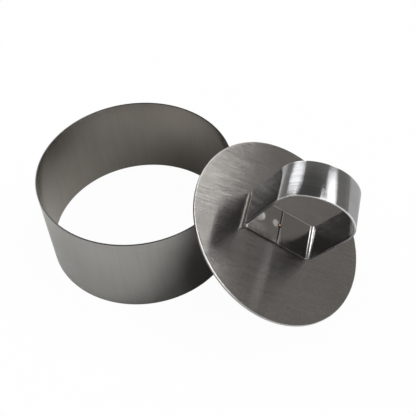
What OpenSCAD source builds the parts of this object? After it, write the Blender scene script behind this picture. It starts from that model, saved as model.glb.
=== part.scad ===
// Ring mold with pusher, in millimetres.
// The ring is an open band of sheet steel that stands on the table.
// The pusher is a flat disc with a bent strap handle, and presses the food out of the ring.
// It is shown put down beside the ring, leaning on the ring's rim.
// The origin is on the ring's axis at the table, Z is up, and X points to the leaning pusher.

/* [Ring] */
// Inside diameter of the ring
ring_bore = 80; // [60:1:120]
// Thickness of the ring's wall
ring_wall = 0.6; // [0.4:0.1:1.5]
// Height of the ring
ring_h = 39; // [25:1:55]
// Break of the ring's sheared edges
ring_break = 0.12; // [0.05:0.01:0.18]
// Width of the weld that closes the rolled band
seam_w = 0.9; // [0.5:0.1:2]
// How far the weld stands proud of the ring's outside
seam_crown = 0.06; // [0.02:0.01:0.2]
// Place of the weld round the ring, in degrees from X
seam_turn = 12; // [0:1:30]

/* [Disc] */
// Clearance all round between the disc and the ring's bore, with the pusher in use
disc_clear = 0.4; // [0.2:0.05:1]
// Thickness of the disc
disc_t = 1; // [0.8:0.1:2]
// Break of the disc's edges
disc_break = 0.15; // [0.05:0.05:0.35]

/* [Handle] */
// Width of the handle's strap
strap_w = 16; // [10:1:24]
// Thickness of the strap
strap_t = 0.8; // [0.6:0.1:1.2]
// Outside width of the handle at its feet
foot_span = 32.6; // [30:0.2:34]
// Height of the handle above the disc
handle_h = 39; // [34:1:48]
// Inside radius of the bend between a foot and a side
foot_bend_r = 1.5; // [1:0.1:2.5]
// Outward lean of each side, in degrees
side_lean = 1.7; // [0:0.1:4]
// Outside radius of the two shoulders of the arch
shoulder_r = 14; // [12:0.5:15]
// Outside radius of the middle of the arch
crown_r = 19; // [18:0.5:24]
// Gap between the ends of the two feet, which turn in under the arch
foot_gap = 0.4; // [0.2:0.1:1]
// Turn of the handle about the disc's axis, in degrees from the slope
handle_turn = 10.4; // [-45:0.1:45]
// How far the handle is set up the slope from the disc's centre
handle_up = 0.8; // [0:0.1:3]
// How far the handle is set sideways from the disc's centre
handle_side = 0.8; // [0:0.1:3]

/* [Welds] */
// Radius of the spot weld that fixes the upper foot
spot_r = 2.3; // [1.5:0.1:3]
// Distance of the spot weld from the handle's middle, along the foot
spot_out = 9.7; // [6:0.1:11]
// Distance of the spot weld from the middle of the foot's width
spot_side = 0.4; // [0:0.1:2]
// Depth of the dimple that the electrode leaves in the foot
spot_dimple = 0.12; // [0.05:0.01:0.3]
// Radius of the tack weld that joins both feet to the disc at their ends
tack_r = 0.65; // [0.6:0.05:1.2]
// Distance of the tack weld from the handle's middle, along the foot
tack_out = 0.3; // [0:0.05:0.6]
// Distance of the tack weld from the middle of the foot's width
tack_side = 0.4; // [0:0.1:2]
// Height of the tack weld's bead above the foot
tack_crown = 0.3; // [0.1:0.05:0.5]
// Depth to which the welds reach into the disc
weld_root = 0.3; // [0.1:0.05:0.6]

/* [Put down] */
// How far the leaning disc reaches past the ring's rim, along the disc
rim_reach = 13.2; // [6:0.2:20]
// Gap between the leaning disc and the ring's rim
rest_gap = 0.2; // [0.1:0.05:0.5]

/* [Hidden] */
$fn = 144;

// Overrun of every cut past the face that it opens
over = 0.5;

// Number of short stretches in each bend of the strap's outline
bend_steps = 12;
shoulder_steps = 20;
crown_steps = 14;

// Radii of the ring's two faces, and half the angle that the weld takes
bore_r = ring_bore / 2;
ring_r = bore_r + ring_wall;
seam_half = asin(seam_w / 2 / ring_r);

// The disc runs in the bore, and leans until it meets the table and the rim
disc_r = bore_r - disc_clear;
lean = asin(ring_h / (2 * disc_r - rim_reach));
disc_z = disc_r * sin(lean);
disc_x = ring_r + (ring_h - disc_z) / tan(lean) + rest_gap / sin(lean);

// The strap's outline is tangent lines and arcs, in a plane with the disc's face at zero height
bend_r = foot_bend_r + strap_t;
bend_x = foot_span / 2 - bend_r;
crown_z = handle_h - crown_r;
arch_step = crown_r - shoulder_r;
side_rise = (crown_z - bend_r) * sin(side_lean);
side_need = bend_r - shoulder_r + bend_x * cos(side_lean) + side_rise;
crown_half = side_lean + asin(side_need / arch_step);
shoulder_x = arch_step * sin(crown_half);
shoulder_z = crown_z + arch_step * cos(crown_half);

// Radius of the ball whose cap is the tack weld's bead
tack_ball = (tack_r * tack_r + tack_crown * tack_crown) / (2 * tack_crown);

// Section of the ring's band, with its four edges broken
module band_section() {
    polygon([
        [bore_r, ring_break],
        [bore_r + ring_break, 0],
        [ring_r - ring_break, 0],
        [ring_r, ring_break],
        [ring_r, ring_h - ring_break],
        [ring_r - ring_break, ring_h],
        [bore_r + ring_break, ring_h],
        [bore_r, ring_h - ring_break]
    ]);
}

// The band, rolled round from one side of the weld to the other
module mold_ring() {
    color([0.53, 0.53, 0.52])
        rotate([0, 0, seam_turn + seam_half])
            rotate_extrude(angle = 360 - 2 * seam_half)
                band_section();
}

// The weld that fills the gap between the band's two ends, ground flush inside
module ring_seam_weld() {
    color([0.45, 0.44, 0.43])
        rotate([0, 0, seam_turn - seam_half])
            rotate_extrude(angle = 2 * seam_half)
                translate([bore_r, ring_break])
                    square([ring_wall + seam_crown, ring_h - 2 * ring_break]);
}

// Puts a piece of the pusher in its place beside the ring: lower face of the disc at zero height
module put_down() {
    translate([disc_x, 0, disc_z])
        rotate([0, lean, 0])
            children();
}

// Puts a piece of the handle on the disc: the disc's top face at zero height
module on_disc() {
    translate([-handle_up, handle_side, disc_t])
        rotate([0, 0, handle_turn])
            children();
}

// Space that the spot weld fills, from its root in the disc up
module spot_plug(top) {
    translate([-spot_out, spot_side, -weld_root])
        cylinder(r = spot_r, h = weld_root + top);
}

// Space that the tack weld fills, from its root in the disc up
module tack_plug(top) {
    translate([-tack_out, tack_side, -weld_root])
        cylinder(r = tack_r, h = weld_root + top);
}

// Section of the disc from its centre out, with both edges broken
module disc_section() {
    polygon([
        [0, 0],
        [disc_r - disc_break, 0],
        [disc_r, disc_break],
        [disc_r, disc_t - disc_break],
        [disc_r - disc_break, disc_t],
        [0, disc_t]
    ]);
}

// The flat disc, with a shallow pocket where each weld has melted into it
module pusher_disc() {
    color([0.38, 0.37, 0.35])
        put_down()
            difference() {
                rotate_extrude($fn = 2 * $fn)
                    disc_section();
                on_disc() {
                    spot_plug(over);
                    tack_plug(over);
                }
            }
}

// A point of the outline, at an angle round a bend's centre
function on_bend(centre, r, turn) = centre + r * [cos(turn), sin(turn)];

// The points round a bend after its first, up to its last
function bend_points(centre, r, from, to, steps) =
    [for (i = [1:steps]) on_bend(centre, r, from + (to - from) * i / steps)];

// One face of half the strap, from the foot's end to the crown, set in from the outside
function half_face(inset) = concat(
    [[foot_gap / 2, inset], [bend_x, inset]],
    bend_points([bend_x, bend_r], bend_r - inset, -90, -side_lean, bend_steps),
    [on_bend([shoulder_x, shoulder_z], shoulder_r - inset, -side_lean)],
    bend_points([shoulder_x, shoulder_z], shoulder_r - inset, -side_lean, 90 - crown_half, shoulder_steps),
    bend_points([0, crown_z], crown_r - inset, 90 - crown_half, 90, crown_steps)
);

// A face's points in the other order, and on the other side of the handle
function backwards(points) = [for (i = [len(points) - 1:-1:0]) points[i]];
function other_side(points) = [for (p = points) [-p.x, p.y]];

// The whole outline of the strap: outside up and over, then inside back
module strap_section() {
    outside = half_face(0);
    inside = half_face(strap_t);
    polygon(concat(outside, backwards(other_side(outside)), other_side(inside), backwards(inside)));
}

// The handle: one strip bent into an arch, with both feet turned in under it
module handle_strap() {
    color([0.6, 0.6, 0.61])
        put_down()
            on_disc()
                difference() {
                    rotate([90, 0, 0])
                        linear_extrude(height = strap_w, center = true)
                            strap_section();
                    spot_plug(strap_t + over);
                    tack_plug(strap_t + over);
                }
}

// The spot weld through the upper foot, with the electrode's dimple in its top
module foot_spot_weld() {
    color([0.66, 0.65, 0.63])
        put_down()
            on_disc()
                spot_plug(strap_t - spot_dimple);
}

// The tack weld that catches the ends of both feet, with its domed bead
module seam_tack_weld() {
    color([0.55, 0.48, 0.4])
        put_down()
            on_disc() {
                tack_plug(strap_t);
                translate([-tack_out, tack_side, strap_t])
                    intersection() {
                        translate([0, 0, tack_crown - tack_ball])
                            sphere(r = tack_ball, $fn = 48);
                        cylinder(r = tack_r, h = tack_crown);
                    }
            }
}

mold_ring();
ring_seam_weld();
pusher_disc();
handle_strap();
foot_spot_weld();
seam_tack_weld();
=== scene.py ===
import math

import bpy
from mathutils import Matrix, Vector


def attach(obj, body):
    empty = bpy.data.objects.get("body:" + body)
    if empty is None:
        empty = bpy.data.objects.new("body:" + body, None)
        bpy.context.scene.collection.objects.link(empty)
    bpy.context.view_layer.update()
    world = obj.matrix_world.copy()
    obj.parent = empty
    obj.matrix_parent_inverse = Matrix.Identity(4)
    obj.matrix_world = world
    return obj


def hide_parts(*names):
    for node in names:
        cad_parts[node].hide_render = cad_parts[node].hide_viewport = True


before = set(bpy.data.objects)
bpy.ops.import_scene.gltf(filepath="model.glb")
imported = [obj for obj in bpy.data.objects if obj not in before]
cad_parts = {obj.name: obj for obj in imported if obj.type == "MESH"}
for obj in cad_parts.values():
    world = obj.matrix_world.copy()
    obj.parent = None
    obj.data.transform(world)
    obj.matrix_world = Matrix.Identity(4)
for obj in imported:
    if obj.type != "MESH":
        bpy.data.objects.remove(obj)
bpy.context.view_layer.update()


# Mold ring.
# An open band of stainless sheet steel, rolled round and closed by a weld.
# Both faces keep the fine lines of the rolling and brushing, which run round the ring.
ring_bore_r = 0.0400
ring_wall = 0.0006
ring_height = 0.0390
ring_edge_round = 0.00012
ring_edge_facets = 5
ring_steps = 360
seam_turn = math.radians(12)
seam_width = 0.0009
seam_half = math.asin(seam_width / 2 / (ring_bore_r + ring_wall))
sheet_edge_angle = 40
ring_steel_colour = (0.345, 0.338, 0.325)
ring_inside_tint = (1.06, 1.0, 0.95)
ring_tone_swing = 0.07
ring_rim_painted_shade = 0.30
ring_rim_band = (ring_height - ring_edge_round * 0.9, ring_height - ring_edge_round * 0.3)
ring_inside_band = (ring_bore_r + ring_wall * 0.6, ring_bore_r + ring_wall * 0.4)
ring_line_length = 0.030
ring_line_pitch = 0.00002
ring_line_spread = 1.1
ring_inside_line_spread = 0.35
ring_streak_length = 0.030
ring_streak_width = 0.0013
ring_streak_share = 0.4
ring_scratch_length = 0.020
ring_scratch_width = 0.00035
ring_scratch_share = 0.3
ring_patch_size = 0.020
ring_patch_share = 0.3
ring_roughness = 0.20
ring_patch_roughness = 0.08
noise_middle = 0.5
noise_detail = 2.0
tone_range = (0.3, 0.7)


class Wire:
    """One output of a node tree. Expressions on wires and numbers add their Math nodes."""

    def __init__(self, tree, socket=None):
        self.tree = tree
        self.socket = socket

    def node(self, kind, settings=(), sockets=(), out=0):
        """Adds a node: first its settings, then the values or wires of its sockets."""
        made = self.tree.nodes.new(kind)
        for name, value in dict(settings).items():
            setattr(made, name, value)
        for key, value in dict(sockets).items():
            if isinstance(value, Wire):
                self.tree.links.new(value.socket, made.inputs[key])
            else:
                made.inputs[key].default_value = value
        return Wire(self.tree, made.outputs[out]) if made.outputs else None

    def math(self, operation, *values):
        return self.node("ShaderNodeMath", {"operation": operation}, enumerate(values))

    def __add__(self, other):
        return self.math("ADD", self, other)

    __radd__ = __add__

    def __sub__(self, other):
        return self.math("SUBTRACT", self, other)

    def __rsub__(self, other):
        return self.math("SUBTRACT", other, self)

    def __mul__(self, other):
        return self.math("MULTIPLY", self, other)

    __rmul__ = __mul__

    def __abs__(self):
        return self.math("ABSOLUTE", self)

    def or_more(self, other):
        """The larger of two wires."""
        return self.math("MAXIMUM", self, other)

    def mixed(self, low, high):
        """The colour low where this wire is 0, and the colour high where it is 1."""
        sockets = {0: self, 6: low, 7: high}
        return self.node("ShaderNodeMix", {"data_type": "RGBA"}, sockets, out=2)

    def step(self, low, high, first=0.0, last=1.0):
        """A smooth step from first, where this wire is at low, to last at high."""
        sockets = {0: self, 1: low, 2: high, 3: first, 4: last}
        return self.node("ShaderNodeMapRange", {"interpolation_type": "SMOOTHSTEP"}, sockets)

    def part(self, axis):
        """The X, Y or Z of a place."""
        return self.node("ShaderNodeSeparateXYZ", sockets={"Vector": self}, out=axis)

    def axis_distance(self):
        """How far a place is from its Z axis."""
        level = self.node("ShaderNodeVectorMath", {"operation": "MULTIPLY"}, {0: self, 1: (1, 1, 0)})
        return self.node("ShaderNodeVectorMath", {"operation": "LENGTH"}, {0: level}, out=1)


def shade(colour, amount=1.0):
    """A colour made lighter or darker, as a socket takes it."""
    return tuple(amount * part for part in colour) + (1.0,)


def varied(tone, colour, swing):
    """The colour, darker and lighter by the swing as the tone goes from 0 to 1."""
    return tone.mixed(shade(colour, 1 - swing), shade(colour, 1 + swing))


def finish_start(name):
    """A new material, and the wire of its Object coordinates."""
    material = bpy.data.materials.new(name)
    material.use_nodes = True
    material.node_tree.nodes.clear()
    at = Wire(material.node_tree).node("ShaderNodeTexCoord", out="Object")
    return material, at


def own_axes(at, place, turn, size=(1, 1, 1)):
    """Coordinates from a place, along turned axes, in units of the given size."""
    mapping = {"Vector": at, "Location": place, "Rotation": turn, "Scale": size}
    return at.node("ShaderNodeMapping", {"vector_type": "TEXTURE"}, mapping)


def clouds(at, size, detail=noise_detail):
    """Soft patches of about the given size."""
    noise = {"Vector": at, "Scale": 1.0 / size, "Detail": detail}
    return at.node("ShaderNodeTexNoise", sockets=noise)


def grain(at, size, place=(0, 0, 0), turn=(0, 0, 0)):
    """Brushed lines: patches of the given size along each of the turned axes."""
    return clouds(own_axes(at, place, turn, size), 1.0)


def tipped(lines, across, spread):
    """The surface's normal, tipped to and fro across the brushing by its fine lines."""
    flat = lines.node("ShaderNodeTexCoord", out="Normal")
    tip = (lines - noise_middle) * spread
    tips = lines.node("ShaderNodeCombineXYZ", sockets={0: tip, 1: tip, 2: tip})
    sockets = {0: tuple(across), 1: tips, 2: flat}
    bent = lines.node("ShaderNodeVectorMath", {"operation": "MULTIPLY_ADD"}, sockets)
    settings = {"vector_type": "NORMAL", "convert_from": "OBJECT", "convert_to": "WORLD"}
    return lines.node("ShaderNodeVectorTransform", settings, {"Vector": bent})


def steel_finish(colour, roughness, normal, glancing=1.0):
    """The steel's shader; glancing below 1 darkens what it mirrors at a flat angle."""
    shader = colour.node("ShaderNodeBsdfPrincipled", sockets={
        "Base Color": colour,
        "Metallic": 1.0,
        "Roughness": roughness,
        "Normal": normal,
        "Specular Tint": shade((glancing, glancing, glancing)),
    })
    colour.node("ShaderNodeOutputMaterial", sockets={"Surface": shader})


def ring_steel():
    """Satin steel, brushed round the ring, warmer inside, with a painted dark reflection on the rim.
    """
    material, at = finish_start("ring steel")
    fine = grain(at, (ring_line_length, ring_line_length, ring_line_pitch))
    streaks = grain(at, (ring_streak_width, ring_streak_width, ring_streak_length))
    scratches = grain(at, (ring_scratch_length, ring_scratch_length, ring_scratch_width))
    patches = clouds(at, ring_patch_size)
    tone = streaks * ring_streak_share + scratches * ring_scratch_share + patches * ring_patch_share
    colour = varied(tone.step(*tone_range), ring_steel_colour, ring_tone_swing)
    inside = at.axis_distance().step(*ring_inside_band)
    warm = at.node("ShaderNodeVectorMath", {"operation": "MULTIPLY"}, {0: colour, 1: ring_inside_tint})
    colour = inside.mixed(colour, warm)
    # The rim is painted dark: a painted reflection of the dim room above it.
    rim = at.part("Z").step(*ring_rim_band)
    colour = rim.mixed(colour, shade(ring_steel_colour, ring_rim_painted_shade))
    roughness = ring_roughness + (patches - noise_middle) * ring_patch_roughness
    spread = ring_line_spread - inside * (ring_line_spread - ring_inside_line_spread)
    steel_finish(colour, roughness, tipped(fine, (0, 0, 1), spread))
    return material


def open_tree(name, sizes):
    """A geometry tree with named inputs: the tree, its inputs as wires, and their identifiers."""
    tree = bpy.data.node_groups.new(name, "GeometryNodeTree")
    tree.interface.new_socket("Geometry", in_out="INPUT", socket_type="NodeSocketGeometry")
    keys = {}
    for label, kind in sizes.items():
        socket = tree.interface.new_socket(label, in_out="INPUT", socket_type="NodeSocket" + kind)
        keys[label] = socket.identifier
    tree.interface.new_socket("Geometry", in_out="OUTPUT", socket_type="NodeSocketGeometry")
    inputs = {label: Wire(tree).node("NodeGroupInput", out=label) for label in ["Geometry", *sizes]}
    return tree, inputs, keys


def close_tree(shape, material):
    """Ends a geometry tree in real meshes with their material."""
    real = shape.node("GeometryNodeRealizeInstances", sockets={"Geometry": shape})
    dressed = shape.node("GeometryNodeSetMaterial", sockets={"Geometry": real, "Material": material})
    shape.node("NodeGroupOutput", sockets={"Geometry": dressed})


def grow(name, mesh, tree, values):
    """Runs a geometry tree on a mesh, and gives the result as a plain mesh object."""
    holder = bpy.data.objects.new(name, mesh)
    bpy.context.scene.collection.objects.link(holder)
    modifier = holder.modifiers.new(name, "NODES")
    modifier.node_group = tree
    for key, value in values.items():
        modifier[key] = value
    ready = holder.evaluated_get(bpy.context.evaluated_depsgraph_get())
    result = bpy.data.meshes.new_from_object(ready)
    holder.modifiers.remove(modifier)
    holder.data = result
    return holder


def smooth(piece, angle):
    """Shades the piece smooth, except across edges sharper than the angle, in degrees."""
    piece.data.shade_smooth()
    piece.data.set_sharp_from_angle(angle=math.radians(angle))


ring_sizes = {
    "Bore Radius": "Float",
    "Wall": "Float",
    "Height": "Float",
    "Edge Round": "Float",
    "Seam Turn": "Float",
    "Seam Half": "Float",
    "Steps": "Int",
}
band_tree, band, band_keys = open_tree("rolled band", ring_sizes)
path = band["Wall"].node("GeometryNodeCurveArc", {"mode": "RADIUS"}, {
    "Resolution": band["Steps"],
    "Radius": band["Bore Radius"] + band["Wall"] * 0.5,
    "Start Angle": band["Seam Turn"] + band["Seam Half"],
    "Sweep Angle": math.tau - band["Seam Half"] * 2.0,
})
section = path.node("GeometryNodeCurvePrimitiveQuadrilateral", {"mode": "RECTANGLE"}, {
    "Width": band["Wall"],
    "Height": band["Height"],
})
rounded = path.node("GeometryNodeFilletCurve", {"mode": "POLY"}, {
    "Curve": section,
    "Radius": band["Edge Round"],
    "Count": ring_edge_facets,
})
swept = path.node("GeometryNodeCurveToMesh", sockets={
    "Curve": path,
    "Profile Curve": rounded,
    "Fill Caps": True,
})
lift = path.node("ShaderNodeCombineXYZ", sockets={"Z": band["Height"] * 0.5})
placed = path.node("GeometryNodeTransform", sockets={"Geometry": swept, "Translation": lift})
close_tree(placed, ring_steel())
mold_ring = grow("rolled_band", bpy.data.meshes.new("rolled_band"), band_tree, {
    band_keys["Bore Radius"]: ring_bore_r,
    band_keys["Wall"]: ring_wall,
    band_keys["Height"]: ring_height,
    band_keys["Edge Round"]: ring_edge_round,
    band_keys["Seam Turn"]: seam_turn,
    band_keys["Seam Half"]: seam_half,
    band_keys["Steps"]: ring_steps,
})
smooth(mold_ring, sheet_edge_angle)
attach(mold_ring, "ring")
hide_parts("mold_ring")


# Ring seam weld.
# A seam of melted steel that joins the two ends of the rolled band, from its foot to its rim.
# It is ground flush inside, and outside it stands a little proud with the ripples of the torch.
seam_crown = 0.00006
ripple_pitch = 0.0007
ripple_depth = 0.00002
ripple_bow = 0.35
seam_low = ring_edge_round
seam_high = ring_height - ring_edge_round
seam_columns = 12
seam_steps = 240
seam_colour = (0.36, 0.34, 0.31)
seam_roughness = 0.34
seam_pebble_size = 0.0004
weld_dark = 0.75
weld_light = 1.2
weld_pebble_share = 0.6
weld_stain_share = 0.4
weld_stain_size = 6
weld_pebble_detail = 4.0
weld_pebble_depth = 0.00001
weld_pebble_roughness = 0.2


def mesh_piece(name, points, faces, material):
    """A mesh object from points, faces and a material, linked to the scene."""
    mesh = bpy.data.meshes.new(name)
    mesh.from_pydata([tuple(point) for point in points], [], faces)
    mesh.materials.append(material)
    mesh.update()
    piece = bpy.data.objects.new(name, mesh)
    bpy.context.scene.collection.objects.link(piece)
    return piece


def round_axis(r, turn, z):
    """The point at a radius and a turn round the Z axis."""
    return (r * math.cos(turn), r * math.sin(turn), z)


def loft(rows):
    """Faces between closed rows of points that all have the same number of points."""
    count = len(rows[0])
    faces = []
    for row in range(len(rows) - 1):
        low = row * count
        high = low + count
        for k in range(count):
            n = (k + 1) % count
            faces.append((low + k, low + n, high + n, high + k))
    return faces


def bumped(height, depth):
    """The normal of a surface with bumps of the given depth."""
    sockets = {"Height": height, "Distance": depth, "Strength": 1.0}
    return height.node("ShaderNodeBump", sockets=sockets)


def weld_metal(name, colour, roughness, pebble_size):
    """Melted steel: fine pebbles, and stains a few times their size."""
    material, at = finish_start(name)
    pebbles = clouds(at, pebble_size, weld_pebble_detail)
    stains = clouds(at, pebble_size * weld_stain_size)
    tone = (pebbles * weld_pebble_share + stains * weld_stain_share).step(*tone_range)
    tint = tone.mixed(shade(colour, weld_dark), shade(colour, weld_light))
    matt = roughness + (pebbles - noise_middle) * weld_pebble_roughness
    steel_finish(tint, matt, bumped(pebbles, weld_pebble_depth))
    return material


# Each row goes across the outside of the weld, which is crowned and rippled, and back inside.
seam_shares = [2 * k / seam_columns - 1 for k in range(seam_columns + 1)]
seam_rows = []
for step in range(seam_steps + 1):
    z = seam_low + (seam_high - seam_low) * step / seam_steps
    row = []
    for share in seam_shares:
        bow = 1 - share * share
        wave = 0.5 + 0.5 * math.cos(math.tau * (z / ripple_pitch + ripple_bow * share * share))
        r = ring_bore_r + ring_wall + bow * (seam_crown - ripple_depth * wave)
        row.append(round_axis(r, seam_turn + share * seam_half, z))
    for share in reversed(seam_shares):
        row.append(round_axis(ring_bore_r, seam_turn + share * seam_half, z))
    seam_rows.append(row)
seam_points = [point for row in seam_rows for point in row]
seam_count = len(seam_rows[0])
seam_faces = loft(seam_rows)
seam_faces.append(tuple(range(seam_count - 1, -1, -1)))
seam_faces.append(tuple(range(len(seam_points) - seam_count, len(seam_points))))
seam_steel = weld_metal("seam weld steel", seam_colour, seam_roughness, seam_pebble_size)
ring_seam_weld = mesh_piece("torch_seam", seam_points, seam_faces, seam_steel)
smooth(ring_seam_weld, sheet_edge_angle)
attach(ring_seam_weld, "ring")
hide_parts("ring_seam_weld")


# Pusher disc.
# A flat disc stamped from stainless sheet, with its edge broken, and brushed straight across.
# It is the pusher's face, put down leaning on the ring's rim.
disc_clear = 0.0004
disc_r = ring_bore_r - disc_clear
disc_thick = 0.0010
disc_edge_round = 0.00023
disc_edge_facets = 5
disc_circles = (0.010, 0.020, 0.030, 0.036, 0.039)
disc_steps = 288

# Its lower edge stands on the table, and its face clears the rim by the gap and reaches past it.
rim_reach = 0.0132
rest_gap = 0.0002
lean = math.asin(ring_height / (2 * disc_r - rim_reach))
disc_z = disc_r * math.sin(lean)
disc_x = ring_bore_r + ring_wall + (ring_height - disc_z) / math.tan(lean) + rest_gap / math.sin(lean)
put_down = Matrix.Translation((disc_x, 0, disc_z)) @ Matrix.Rotation(lean, 4, "Y")

disc_colour = (0.348, 0.337, 0.322)
disc_tone_range = (0.33, 0.67)
disc_tone_swing = 0.14
speck_and_rim_highlight_colour = (0.78, 0.77, 0.75)
rim_band = (disc_r - 0.00034, disc_r - 0.00016)
rim_highlight_band = (disc_thick - 0.00035, disc_thick - 0.00020)
disc_grain_turn = math.radians(21)
disc_line_length = 0.030
disc_line_pitch = 0.00002
disc_line_spread = 2.2
disc_scratch_length = 0.012
disc_scratch_width = 0.00030
disc_scratch_share = 0.35
disc_dust_size = 0.0007
disc_dust_share = 0.45
disc_patch_size = 0.018
disc_patch_share = 0.2
specks_per_metre = 130.0
speck_band = (0.034, 0.014)
speck_strength = 0.6
disc_roughness = 0.12
disc_patch_roughness = 0.04
disc_rim_roughness = 0.15


def round_bend(x, z, r, first, last, count):
    """Points round a bend, from the first angle to the last."""
    angles = [first + (last - first) * k / count for k in range(count + 1)]
    return [(x + r * math.cos(a), z + r * math.sin(a)) for a in angles]


def turned(name, profile, steps, place, material):
    """A piece turned round Z from a profile that starts and ends on the axis, then put in place."""
    turns = [math.tau * k / steps for k in range(steps)]
    rows = [[round_axis(r, turn, z) for turn in turns] for r, z in profile[1:-1]]
    points = [point for row in rows for point in row]
    faces = loft(rows)
    last = len(points) - steps
    points += [(0, 0, profile[0][1]), (0, 0, profile[-1][1])]
    for k in range(steps):
        n = (k + 1) % steps
        faces.append((n, k, len(points) - 2))
        faces.append((last + k, last + n, len(points) - 1))
    piece = mesh_piece(name, points, faces, material)
    piece.data.transform(place)
    return piece


def disc_steel():
    """Steel brushed straight across the disc, with bright specks and a painted highlight along its
    upper edge.
    """
    material, at = finish_start("disc steel")
    brushed = put_down @ Matrix.Rotation(disc_grain_turn, 4, "Z")
    centre = brushed.translation
    brushed_axes = brushed.to_euler()
    fine = grain(at, (disc_line_length, disc_line_pitch, disc_line_pitch), centre, brushed_axes)
    scratch_size = (disc_scratch_length, disc_scratch_width, disc_scratch_width)
    scratches = grain(at, scratch_size, centre, brushed_axes)
    dust = clouds(at, disc_dust_size)
    patches = clouds(at, disc_patch_size)
    tone = scratches * disc_scratch_share + dust * disc_dust_share + patches * disc_patch_share
    colour = varied(tone.step(*disc_tone_range), disc_colour, disc_tone_swing)
    on_face = own_axes(at, centre, brushed_axes)
    rim = on_face.axis_distance().step(*rim_band)
    # Along the top of the edge the colour is painted light: a painted highlight.
    painted_rim_highlight = rim * on_face.part("Z").step(*rim_highlight_band)
    cells = at.node("ShaderNodeTexVoronoi", sockets={"Vector": at, "Scale": specks_per_metre})
    specks = cells.step(*speck_band)
    colour = (painted_rim_highlight + specks * speck_strength).mixed(colour, shade(speck_and_rim_highlight_colour))
    roughness = disc_roughness + (patches - noise_middle) * disc_patch_roughness
    roughness = roughness + rim * disc_rim_roughness
    across = brushed.to_3x3() @ Vector((0, 1, 0))
    steel_finish(colour, roughness, tipped(fine, across, (1 - rim) * disc_line_spread))
    return material


edge_x = disc_r - disc_edge_round
edge_top = disc_thick - disc_edge_round
disc_profile = [(0, 0)]
disc_profile += [(r, 0) for r in disc_circles]
disc_profile += round_bend(edge_x, disc_edge_round, disc_edge_round, -math.pi / 2, 0, disc_edge_facets)
disc_profile += round_bend(edge_x, edge_top, disc_edge_round, 0, math.pi / 2, disc_edge_facets)
disc_profile += [(r, disc_thick) for r in reversed(disc_circles)]
disc_profile += [(0, disc_thick)]
pusher_disc = turned("stamped_disc", disc_profile, disc_steps, put_down, disc_steel())
smooth(pusher_disc, sheet_edge_angle)
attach(pusher_disc, "pusher")
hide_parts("pusher_disc")


# Strap handle.
# One strip of stainless steel, brushed along its length, sheared, and bent into an arch.
# Both feet are turned in under the arch until their ends nearly meet, and lie flat on the disc.
# A spot weld and a tack weld hold it there.
strap_width = 0.0160
strap_thick = 0.0008
strap_edge_round = 0.00013
strap_edge_facets = 4
foot_span = 0.0326
handle_height = 0.0390
foot_bend_r = 0.0015
side_lean = math.radians(1.7)
shoulder_r = 0.0140
crown_r = 0.0190
foot_gap = 0.0004
bend_steps = 24
shoulder_steps = 56
crown_steps = 36
handle_turn = math.radians(10.4)
handle_up = 0.0008
handle_side = 0.0008
spot_r = 0.0023
spot_steps = 64
spot_at = Vector((-0.0097, 0.0004, 0))
tack_at = Vector((-0.0003, 0.0004, 0))
drill_depth = 4.0
on_disc = (
    put_down
    @ Matrix.Translation((-handle_up, handle_side, disc_thick))
    @ Matrix.Rotation(handle_turn, 4, "Z")
)

# The middle line of half the strap is tangent lines and arcs, in a plane with the disc's face at 0.
half_width = strap_width / 2
bend_r = foot_bend_r + strap_thick
bend_x = foot_span / 2 - bend_r
crown_z = handle_height - crown_r
arch_step = crown_r - shoulder_r
side_rise = (crown_z - bend_r) * math.sin(side_lean)
side_need = bend_r - shoulder_r + bend_x * math.cos(side_lean) + side_rise
crown_half = side_lean + math.asin(side_need / arch_step)
shoulder_x = arch_step * math.sin(crown_half)
shoulder_z = crown_z + arch_step * math.cos(crown_half)
crown_from = math.pi / 2 - crown_half
middle = strap_thick / 2
half_path = [(foot_gap / 2, middle), (bend_x / 2, middle)]
half_path += round_bend(bend_x, bend_r, bend_r - middle, -math.pi / 2, -side_lean, bend_steps)
half_path += round_bend(
    shoulder_x, shoulder_z, shoulder_r - middle, -side_lean, crown_from, shoulder_steps
)
half_path += round_bend(0, crown_z, crown_r - middle, crown_from, math.pi / 2, crown_steps)[1:]
strap_path = half_path + [(-x, z) for x, z in reversed(half_path[:-1])]
path_points = [(x, z, 0) for x, z in strap_path]
path_edges = [(k, k + 1) for k in range(len(strap_path) - 1)]
path_mesh = bpy.data.meshes.new("strap_path")
path_mesh.from_pydata(path_points, path_edges, [])

strap_colour = (0.402, 0.406, 0.415)
strap_tone_range = (0.34, 0.66)
strap_tone_swing = 0.10
foot_painted_shade_colour = (0.325, 0.306, 0.292)
edge_highlight_colour = (0.90, 0.90, 0.90)
left_bend_highlight_colour = (1.0, 0.99, 0.97)
right_bend_highlight_colour = (0.78, 0.78, 0.78)
left_end_painted_shade = 0.3
right_end_highlight_strength = 0.5
strap_line_length = 0.030
strap_line_pitch = 0.00002
strap_line_spread = 0.6
strap_scratch_length = 0.010
strap_scratch_width = 0.00030
strap_scratch_share = 0.6
strap_patch_size = 0.012
strap_patch_share = 0.4
strap_roughness = 0.08
strap_patch_roughness = 0.03
strap_edge_roughness = 0.25
strap_glancing = 0.75
bend_line_loss = 0.7

# Where each finish, painted highlight and painted shade of the strap starts and where it is full, from
# the handle's middle on the disc.
feet_up_band = (0.0012, 0.0009)
feet_along_band = (bend_x + 0.0002, bend_x - 0.0006)
edge_band = (half_width - strap_edge_round, half_width - strap_edge_round * 0.3)
border_band = (half_width - 0.00032, half_width - 0.00014)
far_side_band = (-0.001, 0.001)
arch_up_band = (0.021, 0.026)
arch_along_band = (0.0150, 0.0125)
bend_along_band = (bend_x - 0.0002, bend_x + 0.0004)
bend_up_band = (bend_r + 0.0004, bend_r - 0.0004)
right_half_band = (-0.001, 0.001)
right_end_band = (0.00085, 0.00035)
right_end_start = (0.00010, 0.00020)
right_end_widening = 0.0010
left_end_band = (-0.00060, -0.00035)
left_end_start = (0.0, -0.00010)

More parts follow.
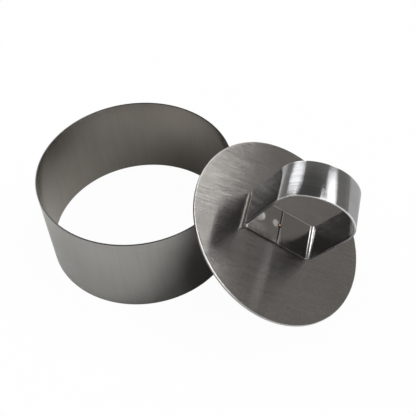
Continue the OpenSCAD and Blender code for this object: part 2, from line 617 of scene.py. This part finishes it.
# Marks on the feet: place, radius that is full, radius where it ends, strength, roughness, colour.
foot_marks = [
    ((-0.0100, 0.0009, strap_thick), 0.0010, 0.0036, 1.0, 0.30, (0.30, 0.30, 0.29)),
    ((-0.0022, 0.0007, strap_thick), 0.0006, 0.0023, 1.0, 0.32, (0.40, 0.40, 0.39)),
    ((tack_at.x, tack_at.y, strap_thick), 0.0009, 0.0013, 0.9, 0.10, (0.16, 0.09, 0.05)),
]


def away_from(at, place):
    """How far a place is from the given one."""
    return at.node("ShaderNodeVectorMath", {"operation": "DISTANCE"}, {0: at, 1: place}, out=1)


def strap_steel():
    """Bright steel brushed along the strap, with marked feet, painted highlights and painted shade."""
    material, at = finish_start("strap steel")
    to_handle = own_axes(at, on_disc.translation, on_disc.to_euler())
    along = to_handle.part("X")
    aside = to_handle.part("Y")
    up = to_handle.part("Z")
    fine = grain(to_handle, (strap_line_length, strap_line_pitch, strap_line_length))
    scratches = grain(to_handle, (strap_scratch_length, strap_scratch_width, strap_scratch_length))
    patches = clouds(at, strap_patch_size)
    tone = scratches * strap_scratch_share + patches * strap_patch_share
    colour = varied(tone.step(*strap_tone_range), strap_colour, strap_tone_swing)
    # The feet are painted darker and warmer than the arch: painted shade where they lie under it.
    feet = up.step(*feet_up_band) * abs(along).step(*feet_along_band)
    colour = feet.mixed(colour, shade(foot_painted_shade_colour))
    edge = abs(aside).step(*edge_band)
    on_arch = up.step(*arch_up_band) * along.step(*arch_along_band)
    # A painted highlight runs along the strap's far border, and along both borders over the arch.
    painted_edge_highlight = abs(aside).step(*border_band) * aside.step(*far_side_band).or_more(on_arch)
    colour = painted_edge_highlight.mixed(colour, shade(edge_highlight_colour))
    # The bends at the feet are painted light: painted highlights, brightest at the left bend.
    bends = abs(along).step(*bend_along_band) * up.step(*bend_up_band)
    right_half = along.step(*right_half_band)
    colour = bends.mixed(colour, right_half.mixed(shade(left_bend_highlight_colour), shade(right_bend_highlight_colour)))
    # A band by the right foot's end, widening towards the near edge, is painted light: a painted
    # highlight.
    widening = aside.step(0.0, -half_width, 0.0, right_end_widening)
    painted_right_end_highlight = (along - widening).step(*right_end_band) * along.step(*right_end_start) * feet
    colour = (painted_right_end_highlight * right_end_highlight_strength).mixed(colour, shade(right_bend_highlight_colour))
    # The left foot's end by the seam is painted dark: painted shade of the gap between the feet.
    painted_left_end_shade = along.step(*left_end_band) * along.step(*left_end_start) * feet
    colour = painted_left_end_shade.mixed(colour, shade(strap_colour, left_end_painted_shade))
    matt = edge * strap_edge_roughness
    for place, full, ended, strength, mark_roughness, mark_colour in foot_marks:
        mark = away_from(to_handle, place).step(full, ended, strength, 0.0)
        colour = mark.mixed(colour, shade(mark_colour))
        matt = matt + mark * mark_roughness
    roughness = strap_roughness + (patches - noise_middle) * strap_patch_roughness + matt
    across = on_disc.to_3x3() @ Vector((0, 1, 0))
    spread = (1 - edge) * (1 - bends * bend_line_loss) * strap_line_spread
    steel_finish(colour, roughness, tipped(fine, across, spread), strap_glancing)
    return material


# The strip is swept and drilled lying on its side, and then stood up on the disc.
strap_sizes = {
    "Width": "Float",
    "Thickness": "Float",
    "Edge Round": "Float",
    "Weld Radius": "Float",
    "Weld Place": "Vector",
}
strap_tree, strip, strip_keys = open_tree("bent strap", strap_sizes)
bent = strip["Geometry"].node("GeometryNodeMeshToCurve", sockets={"Mesh": strip["Geometry"]})
flat_bend = bent.node("GeometryNodeSetCurveNormal", {"mode": "Z_UP"}, {"Curve": bent})
section = bent.node("GeometryNodeCurvePrimitiveQuadrilateral", {"mode": "RECTANGLE"}, {
    "Width": strip["Thickness"],
    "Height": strip["Width"],
})
rounded = bent.node("GeometryNodeFilletCurve", {"mode": "POLY"}, {
    "Curve": section,
    "Radius": strip["Edge Round"],
    "Count": strap_edge_facets,
})
swept = bent.node("GeometryNodeCurveToMesh", sockets={
    "Curve": flat_bend,
    "Profile Curve": rounded,
    "Fill Caps": True,
})
drill = bent.node("GeometryNodeMeshCylinder", sockets={
    "Vertices": spot_steps,
    "Radius": strip["Weld Radius"],
    "Depth": strip["Thickness"] * drill_depth,
})
drill_at = bent.node("GeometryNodeTransform", sockets={
    "Geometry": drill,
    "Translation": strip["Weld Place"],
    "Rotation": (math.pi / 2, 0, 0),
})
holed = bent.node("GeometryNodeMeshBoolean", {"operation": "DIFFERENCE", "solver": "EXACT"}, {
    "Mesh 1": swept,
    "Mesh 2": drill_at,
})
close_tree(holed, strap_steel())
handle_strap = grow("bent_strap", path_mesh, strap_tree, {
    strip_keys["Width"]: strap_width,
    strip_keys["Thickness"]: strap_thick,
    strip_keys["Edge Round"]: strap_edge_round,
    strip_keys["Weld Radius"]: spot_r,
    strip_keys["Weld Place"]: (spot_at.x, middle, -spot_at.y),
})
handle_strap.data.transform(on_disc @ Matrix.Rotation(math.pi / 2, 4, "X"))
smooth(handle_strap, sheet_edge_angle)
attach(handle_strap, "pusher")
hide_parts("handle_strap")


# Foot spot weld.
# The electrode has melted the upper foot to the disc, and left a round dimple.
# The metal there is matt and whitish, with a faint raised lip.
weld_root = 0.0003
weld_edge_angle = 50
spot_dimple = 0.00012
spot_colour = (0.31, 0.31, 0.30)
spot_roughness = 0.38
spot_pebble_size = 0.0005

# Radius, and height above the foot, from the weld's edge over its lip into the dimple.
spot_surface = [
    (spot_r, -0.00001),
    (0.00222, 0.00002),
    (0.00205, 0.00003),
    (0.00188, 0.0),
    (0.00170, -0.00007),
    (0.00150, -0.00010),
    (0.00080, -spot_dimple),
    (0, -spot_dimple),
]
spot_profile = [(0, -weld_root), (spot_r, -weld_root)]
spot_profile += [(r, strap_thick + rise) for r, rise in spot_surface]
spot_steel = weld_metal("spot weld steel", spot_colour, spot_roughness, spot_pebble_size)
spot_place = on_disc @ Matrix.Translation(spot_at)
foot_spot_weld = turned("spot_dimple", spot_profile, spot_steps, spot_place, spot_steel)
smooth(foot_spot_weld, weld_edge_angle)
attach(foot_spot_weld, "pusher")
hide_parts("foot_spot_weld")


# Seam tack weld.
# A small bead that catches the ends of both feet and the disc below them.
# Its metal is heat tinted to a straw brown, with a painted highlight on its crown.
tack_r = 0.00065
tack_crown = 0.0003
tack_rings = 10
tack_steps = 48
tack_colour = (0.19, 0.10, 0.05)
tack_highlight_colour = (0.98, 0.92, 0.84)
tack_highlight_band = (0.00040, 0.00022)
tack_pebble_size = 0.0003
tack_pebble_depth = 0.00002
tack_pebble_strength = 0.4
tack_pebble_shade = 0.6
tack_roughness = 0.16
tack_bright_roughness = 0.2
tack_top = strap_thick + tack_crown
tack_ball = (tack_r * tack_r + tack_crown * tack_crown) / (2 * tack_crown)
tack_profile = [(0, -weld_root), (tack_r, -weld_root), (tack_r, strap_thick)]
for k in range(1, tack_rings):
    r = tack_r * (1 - k / tack_rings)
    tack_profile.append((r, tack_top - tack_ball + math.sqrt(tack_ball * tack_ball - r * r)))
tack_profile.append((0, tack_top))


def tack_metal():
    """Brown heat-tinted metal, with a painted highlight on the bead's crown."""
    material, at = finish_start("tack weld steel")
    crown_at = on_disc @ (tack_at + Vector((0, 0, tack_top)))
    # The crown is painted nearly white: a painted highlight.
    painted_crown_highlight = away_from(at, crown_at).step(*tack_highlight_band)
    pebbles = clouds(at, tack_pebble_size, weld_pebble_detail)
    colour = painted_crown_highlight.mixed(shade(tack_colour), shade(tack_highlight_colour))
    colour = (pebbles * tack_pebble_strength).mixed(colour, shade(tack_colour, tack_pebble_shade))
    roughness = tack_roughness + painted_crown_highlight * tack_bright_roughness
    steel_finish(colour, roughness, bumped(pebbles, tack_pebble_depth))
    return material


tack_place = on_disc @ Matrix.Translation(tack_at)
seam_tack_weld = turned("tack_bead", tack_profile, tack_steps, tack_place, tack_metal())
smooth(seam_tack_weld, weld_edge_angle)
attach(seam_tack_weld, "pusher")
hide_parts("seam_tack_weld")


# Floor.
# A plain pale table top, which the camera sees nearly white, as a studio sweep is.
# It keeps the soft shadow of the object, and the steel mirrors it as it is lit.
floor_half = 3.0
floor_colour = (0.74, 0.74, 0.73)
floor_patch_size = 0.3
floor_tone_swing = 0.01
plain_white = (1, 1, 1, 1)
floor_camera_white = 0.97
steel_white = 0.006


def white_share(start, camera_white):
    """How much of plain white each kind of ray sees: most for the camera, a trace in steel."""
    to_camera = start.node("ShaderNodeLightPath", out="Is Camera Ray")
    in_steel = start.node("ShaderNodeLightPath", out="Is Glossy Ray")
    in_glass = start.node("ShaderNodeLightPath", out="Is Transmission Ray")
    return to_camera * camera_white + (in_steel + in_glass) * steel_white


floor_material, floor_at = finish_start("pale table top")
floor_tone = varied(clouds(floor_at, floor_patch_size), floor_colour, floor_tone_swing)
surface = floor_at.node("ShaderNodeBsdfDiffuse", sockets={"Color": floor_tone})
glow = floor_at.node("ShaderNodeEmission", sockets={"Color": plain_white, "Strength": 1.0})
white = white_share(floor_at, floor_camera_white)
table_top = floor_at.node("ShaderNodeMixShader", sockets={0: white, 1: surface, 2: glow})
floor_at.node("ShaderNodeOutputMaterial", sockets={"Surface": table_top})
corner_signs = ((-1, -1), (1, -1), (1, 1), (-1, 1))
floor_corners = [(floor_half * x, floor_half * y, 0) for x, y in corner_signs]
floor = mesh_piece("table_top", floor_corners, [(0, 1, 2, 3)], floor_material)


# Room and lamps.
# A studio that is pale low down behind and to the left, grey above that, and dim overhead and in
# front. The steel mirrors its three soft boxes, and two more lamps give light but aren't mirrored.
# A band says where a part of the room starts and where it is full, along one axis of the look.
room_colour = (1.0, 0.965, 0.93)
back_wall_tone = 0.41
left_wall_tone = 0.45
upper_tone = 0.29
ceiling_tone = 0.105
front_tone = 0.10
dark_tone = 0.013
behind_band = (-0.45, 0.05)
left_band = (-0.35, -0.75)
low_band = (0.17, 0.0)
overhead_band = (0.68, 0.86)
front_band = (-0.30, -0.70)
front_side_band = (0.35, -0.05)
world = bpy.data.worlds.new("room")
bpy.context.scene.world = world
world.use_nodes = True
world.node_tree.nodes.clear()
look = Wire(world.node_tree).node("ShaderNodeTexCoord", out="Generated")
behind = look.part("Y").step(*behind_band)
to_left = look.part("X").step(*left_band)
low_down = look.part("Z").step(*low_band)
overhead = look.part("Z").step(*overhead_band)
upper = (1 - low_down) * (1 - overhead) * behind
in_front = look.part("Y").step(*front_band) * look.part("X").step(*front_side_band)
walls = (behind * back_wall_tone).or_more(to_left * left_wall_tone)
level = dark_tone + low_down * walls
level = level + upper * upper_tone + overhead * ceiling_tone + in_front * front_tone
room = look.node("ShaderNodeBackground", sockets={"Color": shade(room_colour), "Strength": level})
sweep = look.node("ShaderNodeBackground", sockets={"Color": plain_white, "Strength": 1.0})
backdrop = look.node("ShaderNodeMixShader", sockets={0: white_share(look, 1.0), 1: room, 2: sweep})
look.node("ShaderNodeOutputWorld", sockets={"Surface": backdrop})
lamp_target = Vector((0.04, 0, 0.02))
lamp_distance = 1.2


def soft_box(name, azimuth, height, wide, tall, radiance, mirrored=True):
    """A lamp of the given face and brightness that looks at the object.

    Both angles are in degrees: the azimuth from X towards Y, and the height above the table.
    """
    turn = math.radians(azimuth)
    rise = math.radians(height)
    way = Vector((math.cos(turn) * math.cos(rise), math.sin(turn) * math.cos(rise), math.sin(rise)))
    lamp = bpy.data.lights.new(name, "AREA")
    lamp.shape = "RECTANGLE"
    lamp.size = wide
    lamp.size_y = tall
    lamp.energy = radiance * math.pi * wide * tall
    holder = bpy.data.objects.new(name, lamp)
    holder.location = lamp_target + way * lamp_distance
    holder.rotation_euler = way.to_track_quat("Z", "Y").to_euler()
    holder.visible_glossy = mirrored
    bpy.context.scene.collection.objects.link(holder)


soft_box("right back box", azimuth=40.5, height=39.2, wide=0.60, tall=0.37, radiance=2.4)
soft_box("left back box", azimuth=143, height=36, wide=0.52, tall=0.64, radiance=1.8)
soft_box("right side box", azimuth=-4, height=57, wide=1.0, tall=0.554, radiance=3.3)
soft_box("left lamp", azimuth=182, height=35, wide=0.643, tall=0.598, radiance=8.4, mirrored=False)
soft_box("top lamp", azimuth=62, height=58, wide=0.54, tall=0.46, radiance=3.25, mirrored=False)


# Camera.
# It stands where the photograph was taken from, and looks down at the object.
camera_place = Vector((0.120966, -0.191921, 0.266841))
camera_right = Vector((0.928758, 0.367171, -0.050937))
camera_up = Vector((-0.245284, 0.711756, 0.658209))
camera_back = camera_right.cross(camera_up)
camera_lens = 67.445
camera_sensor = 36
camera_near = 0.01
camera_far = 20
camera_data = bpy.data.cameras.new("camera")
camera_data.sensor_width = camera_sensor
camera_data.lens = camera_lens
camera_data.clip_start = camera_near
camera_data.clip_end = camera_far
camera = bpy.data.objects.new("camera", camera_data)
camera_axes = Matrix((camera_right, camera_up, camera_back)).transposed().to_4x4()
camera.matrix_world = Matrix.Translation(camera_place) @ camera_axes
bpy.context.scene.collection.objects.link(camera)
bpy.context.scene.camera = camera
bpy.context.scene.view_settings.view_transform = "Standard"
